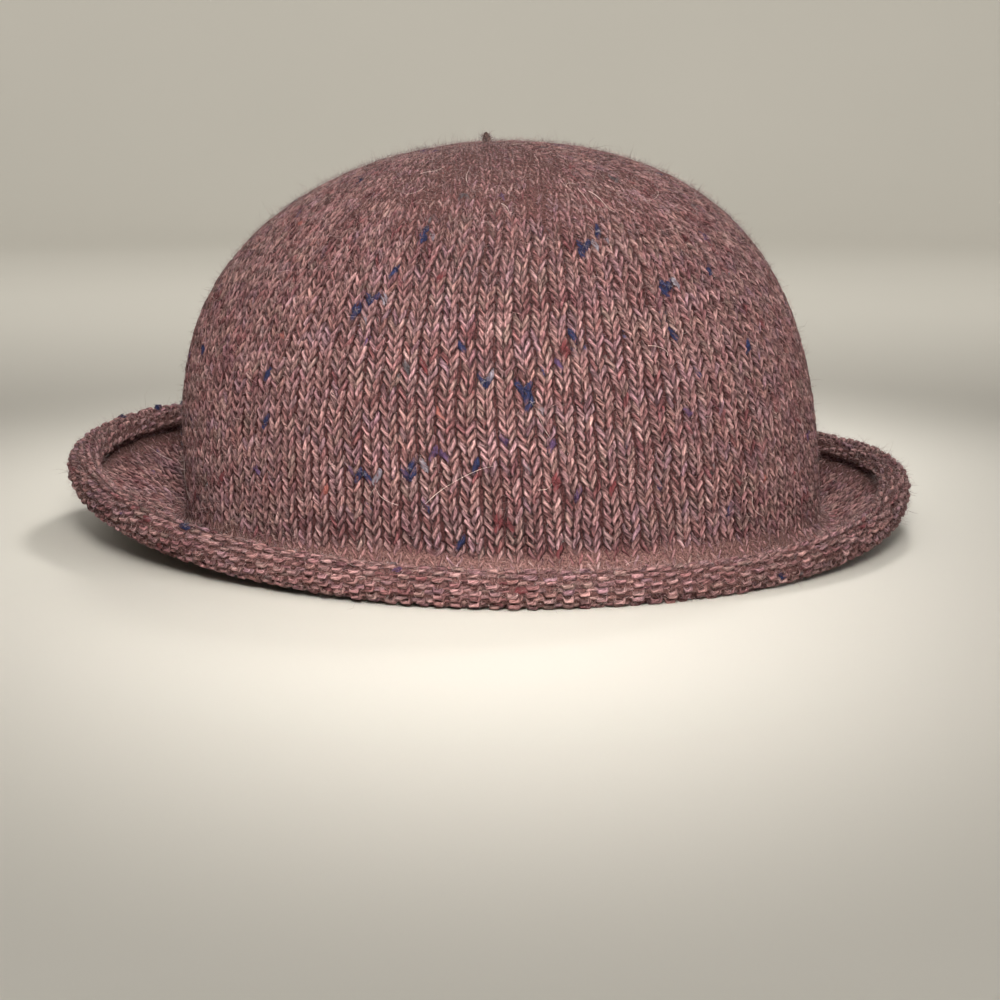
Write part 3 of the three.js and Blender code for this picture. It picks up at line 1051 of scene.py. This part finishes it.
def make_stage():
    """A pale floor that rises smoothly to a low wall all round, well outside every view."""
    floor, bend, wall = 1500.0, 500.0, 700.0
    angle = np.linspace(0, math.pi / 2, 12)
    r = np.concatenate([[0, 400, 900], floor + bend * np.sin(angle), [floor + bend]])
    z = np.concatenate([[0, 0, 0], bend * (1 - np.cos(angle)), [bend + wall]])
    turns = 96
    turn = 2 * math.pi * np.arange(turns) / turns
    ring_x, ring_y = r[1:, None] * np.sin(turn), -r[1:, None] * np.cos(turn)
    ring_z = np.broadcast_to(z[1:, None], ring_x.shape)
    points = np.concatenate([[[0, 0, 0]], np.stack([ring_x, ring_y, ring_z], -1).reshape(-1, 3)])
    edges = [(1 + j, 1 + (j + 1) % turns) for j in range(turns)]
    starts = range(0, (len(r) - 2) * turns, turns)
    faces = [(a + i, a + i + turns, b + i + turns, b + i) for i in starts for a, b in edges]
    faces += [(0, a, b) for a, b in edges]
    mesh = bpy.data.meshes.new("floor")
    mesh.from_pydata((points * MM).tolist(), [], faces)
    mesh.shade_smooth()
    stage = placed("floor", mesh)
    stage.data.materials.append(stage_material())


# The studio's light colours, and the strength of the light from all round
WARM = (1.0, 0.97, 0.93)
CREAM = (1.0, 0.98, 0.94)
NEUTRAL = (1.0, 0.98, 0.95)
COOL = (0.95, 0.97, 1.0)
WORLD_STRENGTH = 0.45


def make_light(name, place, size, power, colour, aim=(0, 0, 0.05), spread=180):
    """A soft panel that faces the hat, or another place, in metres, watts and degrees."""
    light = bpy.data.lights.new(name, "AREA")
    light.shape = "DISK"
    light.size = size
    light.spread = math.radians(spread)
    light.energy = power
    light.color = colour
    panel = placed(name, light)
    panel.location = place
    panel.rotation_euler = (Vector(aim) - Vector(place)).to_track_quat("-Z", "Y").to_euler()
    panel.visible_camera = False


def make_camera():
    """The camera at the photograph's place and angle."""
    camera = bpy.data.cameras.new("photo_camera")
    camera.lens = CAMERA_LENS
    camera.sensor_width = SENSOR_WIDTH
    camera.clip_start = 0.01
    camera.clip_end = 20
    holder = placed("photo_camera", camera)
    holder.location = Vector(CAMERA_PLACE) * MM
    holder.rotation_euler = (math.radians(90 - CAMERA_PITCH), 0, 0)
    bpy.context.scene.camera = holder


def dress(piece, material, node):
    """Gives a piece its material and body, and hides the solid that it replaces."""
    piece.data.materials.append(material)
    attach(piece, "root")
    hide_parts(node)


make_camera()
make_stage()
make_light("key", (0.01, -0.5, 0.25), 0.14, 0.33, WARM, (0, -0.08, 0.038), 44)
make_light("fill", (0.9, -0.9, 0.7), 0.9, 2.5, COOL)
make_light("overhead", (-0.5, -0.2, 1.0), 0.8, 1.3, NEUTRAL)
make_light("back", (0.15, 0.5, 0.55), 0.2, 0.3, NEUTRAL, (0, 0.12, 0.02), 34)
make_light("backdrop", (0, 0.5, 1.0), 1.0, 12, CREAM, (0, 2.0, 0.6))
make_light("table", (0, -0.95, 0.9), 0.5, 0.5, CREAM, (0, -0.6, 0), 60)
world = bpy.data.worlds.new("studio")
world.use_nodes = True
background = world.node_tree.nodes["Background"]
background.inputs[0].default_value = (*WARM, 1)
background.inputs[1].default_value = WORLD_STRENGTH
bpy.context.scene.world = world
bpy.context.scene.view_settings.view_transform = "Standard"

stub_low, stub_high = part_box("yarn_stub")
stub_middle = (np.array(stub_low) + np.array(stub_high)) / 2 / MM
fabric = Fabric(stub_middle[:2] - (STUB_SIDESTEP, 0))
courses = knit(fabric)
# the flecks are placed on the finished yarn and thicken it, so it is made twice
yarn_tubes(fabric, courses)
tufts = colour_yarn(courses)
yarn_tubes(fabric, courses)

# The yarn is split into a few pieces by course
wool = yarn_material()
brim_start = next(i for i, c in enumerate(courses) if c["stitches"] > WALL_STITCHES) - 2
roll_start = len(courses) - ROLL_COURSES
wall_start = next(i for i, c in enumerate(courses) if c["stitches"] >= WALL_STITCHES)
third = (brim_start - wall_start) // 3
starts = (0, wall_start, wall_start + third, wall_start + 2 * third, brim_start, roll_start)
names = ("knit_top", "knit_shoulder", "knit_middle", "knit_foot", "knit_brim", "knit_roll")
for name, first, last in zip(names, starts, (*starts[1:], len(courses))):
    dress(yarn_piece(name, courses[first:last]), wool, "knit_shell")
loose = fibre_material("loose_fibre", (0.07, 0.033, 0.032), (0.26, 0.145, 0.135), 700.0)
pale_loose = fibre_material("pale_loose_fibre", (0.09, 0.045, 0.044), (0.46, 0.30, 0.28), 500.0)
pale_hair = fibre_material("pale_hair", (0.5, 0.36, 0.31), (0.8, 0.66, 0.58), 120.0)
for piece, material in (
    (felted_core(fabric), felt_material()),
    (fuzz(fabric, "short_fuzz", SHORT_FUZZ, 1.5, 1), loose),
    (fuzz(fabric, "long_fuzz", LONG_FUZZ, 3.2, 2), pale_loose),
    (guard_hairs(fabric, courses, LOOSE_HAIRS), pale_hair),
    (fleck_fibres(tufts), fleck_fibre_material()),
):
    dress(piece, material, "knit_shell")
stub_foot, stub_tip = stub_low[2] / MM, stub_high[2] / MM
dress(stub_yarn(stub_middle, stub_foot, stub_tip), wool, "yarn_stub")
dress(stub_fuzz(stub_middle, stub_foot), loose, "yarn_stub")
